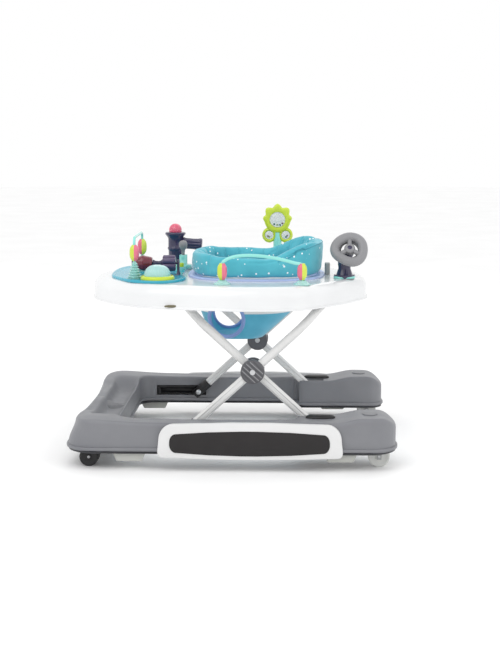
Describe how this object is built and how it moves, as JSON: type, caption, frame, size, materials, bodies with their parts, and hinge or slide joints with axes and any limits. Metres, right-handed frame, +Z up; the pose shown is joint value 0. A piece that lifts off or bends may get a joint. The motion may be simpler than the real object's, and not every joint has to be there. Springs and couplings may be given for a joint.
{
  "type": "baby walker",
  "caption": "Folding baby walker: wheeled U-shaped base with foot plates, scissor frame, white tray with padded hanging seat, and a set of play toys.",
  "frame": {"origin": "on the floor, under the middle of the whole walker", "axes": "+X towards the open back of the base, +Y to the child's right-hand side, +Z up; the child faces -X"},
  "size_m": [0.732, 0.6272, 0.552],
  "materials": {
    "base_grey": "satin moulded grey",
    "white_plastic": "semi-gloss white",
    "black_rubber": "ribbed matte",
    "pad_rubber": "matte",
    "black_plastic": "matte black",
    "steel": "turned",
    "dark_grey": "fine texture",
    "wheel_white": "satin",
    "light_grey": "satin",
    "caster_black": "worn matte",
    "white_tube": "powder coat",
    "tray_white": "gloss",
    "periwinkle": "satin",
    "seat_fabric": "woven, printed with small white dots",
    "clear_plastic": "clear moulding",
    "turquoise": "gloss",
    "lime": "gloss",
    "mint_clear": "tinted clear moulding",
    "mint": "gloss",
    "bead_lime": "two-colour gloss",
    "bead_pink": "two-colour gloss",
    "navy": "gloss",
    "red_clear": "tinted clear moulding",
    "purple": "gloss",
    "grey_plastic": "satin"
  },
  "bodies": {
    "base": {"base_upper_shell": "base_grey", "base_bottom_cover": "base_grey", "foot_plates": "white_plastic", "foot_grips": "black_rubber", "friction_pads": "pad_rubber", "height_racks": "black_plastic", "frame_pivot_pins": "steel", "housing_levers": "dark_grey", "base_trim": "base_grey", "rear_wheel_brackets": "dark_grey", "rear_axles": "steel"},
    "rear_wheel_right": {"rear_wheel_right": "wheel_white"},
    "rear_wheel_left": {"rear_wheel_left": "wheel_white"},
    "caster_right": {"caster_fork_right": "light_grey", "caster_axle_right": "steel"},
    "caster_left": {"caster_fork_left": "light_grey", "caster_axle_left": "steel"},
    "caster_wheel_right": {"caster_wheel_right": "caster_black"},
    "caster_wheel_left": {"caster_wheel_left": "caster_black"},
    "frame_a": {"frame_a_tube": "white_tube", "inner_covers": "dark_grey", "scissor_bolts": "steel", "scissor_spacers": "dark_grey"},
    "frame_b": {"frame_b_tube": "white_tube", "outer_covers": "dark_grey", "end_fittings": "dark_grey", "slider_pins": "steel"},
    "slider_right": {"slot_slider_right": "black_plastic"},
    "slider_left": {"slot_slider_left": "black_plastic"},
    "tray_shoes": {"tray_shoes": "dark_grey"},
    "tray": {"tray_shell": "tray_white", "tray_guides": "white_plastic", "tray_pivot_clips": "white_plastic", "seat_ring": "periwinkle", "seat_pouch": "seat_fabric", "seat_rim_pad": "seat_fabric", "seat_back_clip": "clear_plastic", "toy_plate": "turquoise", "dome_ring": "lime", "bead_loop": "mint", "side_arch": "mint", "roller_posts": "navy", "periscope": "navy", "lever_mount": "mint", "flower_stem": "mint", "steering_console": "navy"},
    "dome_button": {"dome_button": "mint_clear"},
    "loop_bead_left": {"loop_bead_left": "bead_lime"},
    "loop_bead_right": {"loop_bead_right": "bead_lime"},
    "arch_bead_front": {"arch_bead_front": "bead_lime"},
    "arch_bead_back": {"arch_bead_back": "bead_pink"},
    "roller_drum": {"roller_drum": "red_clear"},
    "roller_gear": {"roller_gear": "purple"},
    "scope_ball": {"scope_ball": "bead_pink"},
    "lever": {"lever_knob": "grey_plastic"},
    "side_button": {"side_button": "lime"},
    "flower": {"flower_rattle": "lime", "flower_windows": "clear_plastic"},
    "steering_wheel": {"steering_wheel": "grey_plastic"},
    "console_key": {"console_key": "lime"}
  },
  "joints": [
    {"name": "height_fold", "type": "hinge", "parent": "base", "child": "frame_a", "pos_m": [0.1976, 0, 0.07], "axis": [0, -1, 0], "range_deg": [0, 26]},
    {"name": "scissor_pivot", "type": "hinge", "parent": "frame_a", "child": "frame_b", "pos_m": [0.04646, 0, 0.2085], "axis": [0, -1, 0], "range_deg": [-52, 0]},
    {"name": "tray_pivot", "type": "hinge", "parent": "frame_b", "child": "tray", "pos_m": [0.22812, 0, 0.37496], "axis": [0, -1, 0], "range_deg": [0, 26]},
    {"name": "slider_pivot_right", "type": "hinge", "parent": "frame_b", "child": "slider_right", "pos_m": [-0.10468, 0.252, 0.07], "axis": [0, -1, 0], "range_deg": [0, 26]},
    {"name": "slider_pivot_left", "type": "hinge", "parent": "frame_b", "child": "slider_left", "pos_m": [-0.10468, -0.252, 0.07], "axis": [0, -1, 0], "range_deg": [0, 26]},
    {"name": "shoe_pivot", "type": "hinge", "parent": "frame_a", "child": "tray_shoes", "pos_m": [-0.13521, 0, 0.37496], "axis": [0, -1, 0], "range_deg": [-26, 0]},
    {"name": "caster_swivel_right", "type": "hinge", "parent": "base", "child": "caster_right", "pos_m": [-0.297, 0.25, 0.06], "axis": [0, 0, 1], "continuous": true},
    {"name": "caster_roll_right", "type": "hinge", "parent": "caster_right", "child": "caster_wheel_right", "pos_m": [-0.314, 0.25, 0.021], "axis": [0, 1, 0], "continuous": true},
    {"name": "rear_roll_right", "type": "hinge", "parent": "base", "child": "rear_wheel_right", "pos_m": [0.325, 0.245, 0.024], "axis": [0, 1, 0], "continuous": true},
    {"name": "caster_swivel_left", "type": "hinge", "parent": "base", "child": "caster_left", "pos_m": [-0.297, -0.25, 0.06], "axis": [0, 0, 1], "continuous": true},
    {"name": "caster_roll_left", "type": "hinge", "parent": "caster_left", "child": "caster_wheel_left", "pos_m": [-0.314, -0.25, 0.021], "axis": [0, 1, 0], "continuous": true},
    {"name": "rear_roll_left", "type": "hinge", "parent": "base", "child": "rear_wheel_left", "pos_m": [0.325, -0.245, 0.024], "axis": [0, 1, 0], "continuous": true},
    {"name": "dome_press", "type": "slide", "parent": "tray", "child": "dome_button", "axis": [0, 0, -1], "range_m": [0, 0.005], "stiffness_N_per_m": 400, "springref_m": -0.003},
    {"name": "side_press", "type": "slide", "parent": "tray", "child": "side_button", "axis": [0, 0, -1], "range_m": [0, 0.0035], "stiffness_N_per_m": 300, "springref_m": -0.002},
    {"name": "loop_bead_left_turn", "type": "hinge", "parent": "tray", "child": "loop_bead_left", "pos_m": [-0.22204, -0.14, 0.45996], "axis": [0, 0, 1], "continuous": true},
    {"name": "loop_bead_right_turn", "type": "hinge", "parent": "tray", "child": "loop_bead_right", "pos_m": [-0.22204, 0.02, 0.45996], "axis": [0, 0, 1], "continuous": true},
    {"name": "arch_bead_front_turn", "type": "hinge", "parent": "tray", "child": "arch_bead_front", "pos_m": [-0.02104, -0.215, 0.42696], "axis": [0, 0, 1], "continuous": true},
    {"name": "arch_bead_back_turn", "type": "hinge", "parent": "tray", "child": "arch_bead_back", "pos_m": [0.15396, -0.215, 0.42696], "axis": [0, 0, 1], "continuous": true},
    {"name": "roller_drum_turn", "type": "hinge", "parent": "tray", "child": "roller_drum", "pos_m": [-0.21204, -0.058, 0.42896], "axis": [1, 0, 0], "continuous": true},
    {"name": "roller_gear_turn", "type": "hinge", "parent": "tray", "child": "roller_gear", "pos_m": [-0.15054, -0.058, 0.42896], "axis": [1, 0, 0], "continuous": true},
    {"name": "ball_turn", "type": "hinge", "parent": "tray", "child": "scope_ball", "pos_m": [-0.15504, 0.16, 0.48896], "axis": [0, 0, 1], "continuous": true},
    {"name": "lever_swing", "type": "hinge", "parent": "tray", "child": "lever", "pos_m": [-0.13054, 0.092, 0.42696], "axis": [0, 1, 0], "range_deg": [-40, 40]},
    {"name": "flower_turn", "type": "hinge", "parent": "tray", "child": "flower", "pos_m": [0.09596, 0.2, 0.51196], "axis": [0, 0, 1], "range_deg": [-45, 45]},
    {"name": "steering_turn", "type": "hinge", "parent": "tray", "child": "steering_wheel", "pos_m": [0.26196, -0.104, 0.46596], "axis": [0, -0.8211, 0.5708], "continuous": true},
    {"name": "key_turn", "type": "hinge", "parent": "tray", "child": "console_key", "pos_m": [0.25196, -0.052, 0.42596], "axis": [0, 1, 0], "continuous": true}
  ],
  "couplings": [
    {"joint": "scissor_pivot", "follows": "height_fold", "ratio": -2},
    {"joint": "tray_pivot", "follows": "height_fold", "ratio": 1},
    {"joint": "slider_pivot_right", "follows": "height_fold", "ratio": 1},
    {"joint": "slider_pivot_left", "follows": "height_fold", "ratio": 1},
    {"joint": "shoe_pivot", "follows": "height_fold", "ratio": -1}
  ]
}
